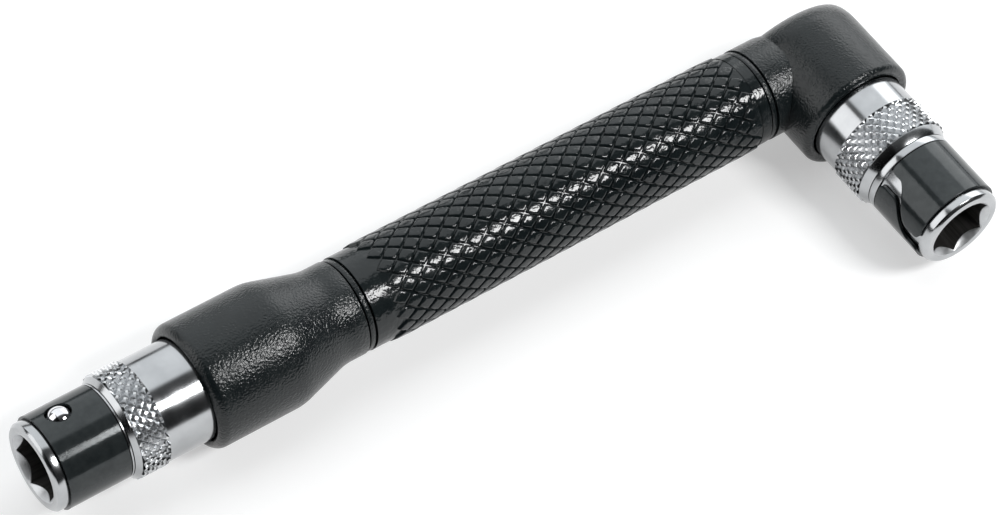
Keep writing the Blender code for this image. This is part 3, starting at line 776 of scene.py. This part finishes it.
def elbow_shape(steps=24):
    """The block and the stub in one, with the two cores taken out."""
    rings = lip_rings(ELBOW_LIP_ROUNDING)
    for i in range(steps + 1):
        angle = ELBOW_FLAT_ANGLE * i / steps
        depth = math.sin(angle)
        half_width = BELL_RADIUS * (1.0 - depth**ELBOW_SQUARENESS) ** (1.0 / ELBOW_SQUARENESS)
        section = oval(half_width, BELL_RADIUS * math.cos(angle))
        rings.append((section, -ANGLED_MOUTH - ELBOW_BACK * depth))
    block = turned(rings, ROUND_STEPS)
    stub_end = heads["angled"].translation.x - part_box("elbow_shell")[0].x
    stub = turned([(STUB_ROOT, 0.0), (NECK_RADIUS, STUB_BLEND), (NECK_RADIUS, stub_end)], ROUND_STEPS)
    stub_core = turned([(CORE_ROOM, -CORE_PAST_AXIS), (CORE_ROOM, stub_end + CORE_OVERRUN)], ROUND_STEPS)
    mouth_core = turned([(CORE_ROOM, -ANGLED_MOUTH), (CORE_ROOM, CORE_OVERRUN - MOUTH_DEPTH)], ROUND_STEPS)
    to_handle = Matrix.Rotation(math.radians(-90.0), 4, "Y")
    along_handle = Matrix.Translation((0.0, 0.0, -ANGLED_MOUTH)) @ to_handle
    stub.transform(along_handle)
    stub_core.transform(along_handle)
    shell = joined(block, stub, "UNION")
    shell = joined(shell, stub_core, "DIFFERENCE")
    return joined(shell, mouth_core, "DIFFERENCE")


add_piece("elbow_moulding", elbow_shape(), (moulded,), elbow_place, "handle", "elbow_shell")


# Table and room
# A white table just under the tool keeps its soft shadow. The room is dark in front of the tool,
# to its left and low at the back, and pale elsewhere, so that the chrome mirrors both.

TABLE_HALF_SIZE = 3.0
TABLE_BELOW = 0.05 * MM
TABLE_SPECKLE = 30.0 * MM
TABLE_TONES = ((0.62, 0.62, 0.62), (0.66, 0.66, 0.66))
TABLE_ROUGHNESS = 0.9
TABLE_GLOW = 0.45
ROOM_TINT = (0.97, 1.0, 1.02)
ROOM_LEFT = {"From Min": -0.36, "From Max": -0.30, "To Min": 0.1, "To Max": 1.0}

# Tones on the way from the front, over the tool, to the back, as shares of that half turn
ROOM_TONES = ((0.0, 0.03), (0.30, 0.03), (0.49, 0.10), (0.53, 1.25), (0.94, 1.25), (0.965, 0.1), (1.0, 0.1))


def worked_out(tree, operation, *values):
    """A maths node on numbers and on the outputs of other nodes."""
    made = tree.nodes.new("ShaderNodeMath")
    made.operation = operation
    for socket, value in zip(made.inputs, values):
        if isinstance(value, float):
            socket.default_value = value
        else:
            tree.links.new(value, socket)
    return made.outputs["Value"]


bm = bmesh.new()
bmesh.ops.create_grid(bm, x_segments=1, y_segments=1, size=TABLE_HALF_SIZE)
bm.transform(Matrix.Translation((0.0, 0.0, -TABLE_BELOW)))
table_mesh = bpy.data.meshes.new("table")
bm.to_mesh(table_mesh)
bm.free()
table = bpy.data.objects.new("table", table_mesh)
bpy.context.scene.collection.objects.link(table)

white, tree, shader = new_finish("white_table")
coloured(tree, shader, grain(tree, TABLE_SPECKLE, detail=2.0), TABLE_TONES)
shader.inputs["Roughness"].default_value = TABLE_ROUGHNESS
seen = tree.nodes.new("ShaderNodeLightPath").outputs
mirrored = worked_out(tree, "MAXIMUM", seen["Is Glossy Ray"], seen["Is Transmission Ray"])
looked_at = worked_out(tree, "MAXIMUM", seen["Is Camera Ray"], mirrored)
glow = worked_out(tree, "MULTIPLY", looked_at, TABLE_GLOW)
shader.inputs["Emission Color"].default_value = (1.0, 1.0, 1.0, 1.0)
tree.links.new(glow, shader.inputs["Emission Strength"])
table_mesh.materials.append(white)

room = bpy.data.worlds.new("room")
room.use_nodes = True
bpy.context.scene.world = room
tree = room.node_tree
direction = tree.nodes.new("ShaderNodeTexCoord")
split = tree.nodes.new("ShaderNodeSeparateXYZ")
tree.links.new(direction.outputs["Generated"], split.inputs["Vector"])
forward = worked_out(tree, "MULTIPLY", split.outputs["Y"], -1.0)
elevation = worked_out(tree, "ARCTAN2", split.outputs["Z"], forward)
share = worked_out(tree, "DIVIDE", elevation, math.pi)
walls = tree.nodes.new("ShaderNodeValToRGB")
while len(walls.color_ramp.elements) < len(ROOM_TONES):
    walls.color_ramp.elements.new(1.0)
for element, (position, tone) in zip(walls.color_ramp.elements, ROOM_TONES):
    element.position = position
    element.color = (*[tint * tone for tint in ROOM_TINT], 1.0)
lit_side = add_node(tree, "MapRange", ROOM_LEFT)
tree.links.new(share, walls.inputs["Fac"])
tree.links.new(split.outputs["X"], lit_side.inputs["Value"])
tree.links.new(walls.outputs["Color"], tree.nodes["Background"].inputs["Color"])
tree.links.new(lit_side.outputs["Result"], tree.nodes["Background"].inputs["Strength"])

bpy.context.scene.view_settings.view_transform = "Standard"


# Lamps
# A small bright soft box over the handle's near side draws the streak along the tool. Two large
# pale ones stand behind it, to the left and to the right.

LAMP_DISTANCE = 0.6
ALONG_X = (1.0, 0.0, 0.0)
ALONG_Y = (0.0, 1.0, 0.0)


def soft_box(name, way, level, level_angle, other_angle, tone):
    """A lamp that fills the given angles seen from the tool, with one side along level."""
    back = Vector(way).normalized()
    side = (Vector(level) - Vector(level).dot(back) * back).normalized()
    lamp = bpy.data.lights.new(name, "AREA")
    lamp.shape = "RECTANGLE"
    lamp.size = 2.0 * LAMP_DISTANCE * math.tan(math.radians(0.5 * level_angle))
    lamp.size_y = 2.0 * LAMP_DISTANCE * math.tan(math.radians(0.5 * other_angle))
    lamp.energy = tone * math.pi * lamp.size * lamp.size_y
    made = bpy.data.objects.new(name, lamp)
    bpy.context.scene.collection.objects.link(made)
    turn = Matrix((side, back.cross(side), back)).transposed().to_4x4()
    made.matrix_world = Matrix.Translation(LAMP_DISTANCE * back) @ turn


soft_box("strip", way=(0.399, -0.526, 0.751), level=ALONG_X, level_angle=20.0, other_angle=13.0, tone=26.0)
soft_box("left_box", way=(-0.75, 0.443, 0.489), level=ALONG_Y, level_angle=40.0, other_angle=50.0, tone=1.7)
soft_box("right_box", way=(0.781, 0.443, 0.440), level=ALONG_Y, level_angle=40.0, other_angle=30.0, tone=1.5)


# Camera
# A long lens over the straight head's side, fitted to the outline in the photograph. It looks
# down on the tool, so that both sockets show.

CAMERA_LENS = 146.542
CAMERA_PLACE = (-0.167111, -0.181257, 0.347081)
CAMERA_TURN = (36.3100, -4.8374, -35.4713)
CAMERA_NEAREST = 0.01

lens = bpy.data.cameras.new("camera")
lens.lens = CAMERA_LENS
lens.clip_start = CAMERA_NEAREST
camera = bpy.data.objects.new("camera", lens)
bpy.context.scene.collection.objects.link(camera)
camera.location = CAMERA_PLACE
camera.rotation_euler = [math.radians(angle) for angle in CAMERA_TURN]
bpy.context.scene.camera = camera
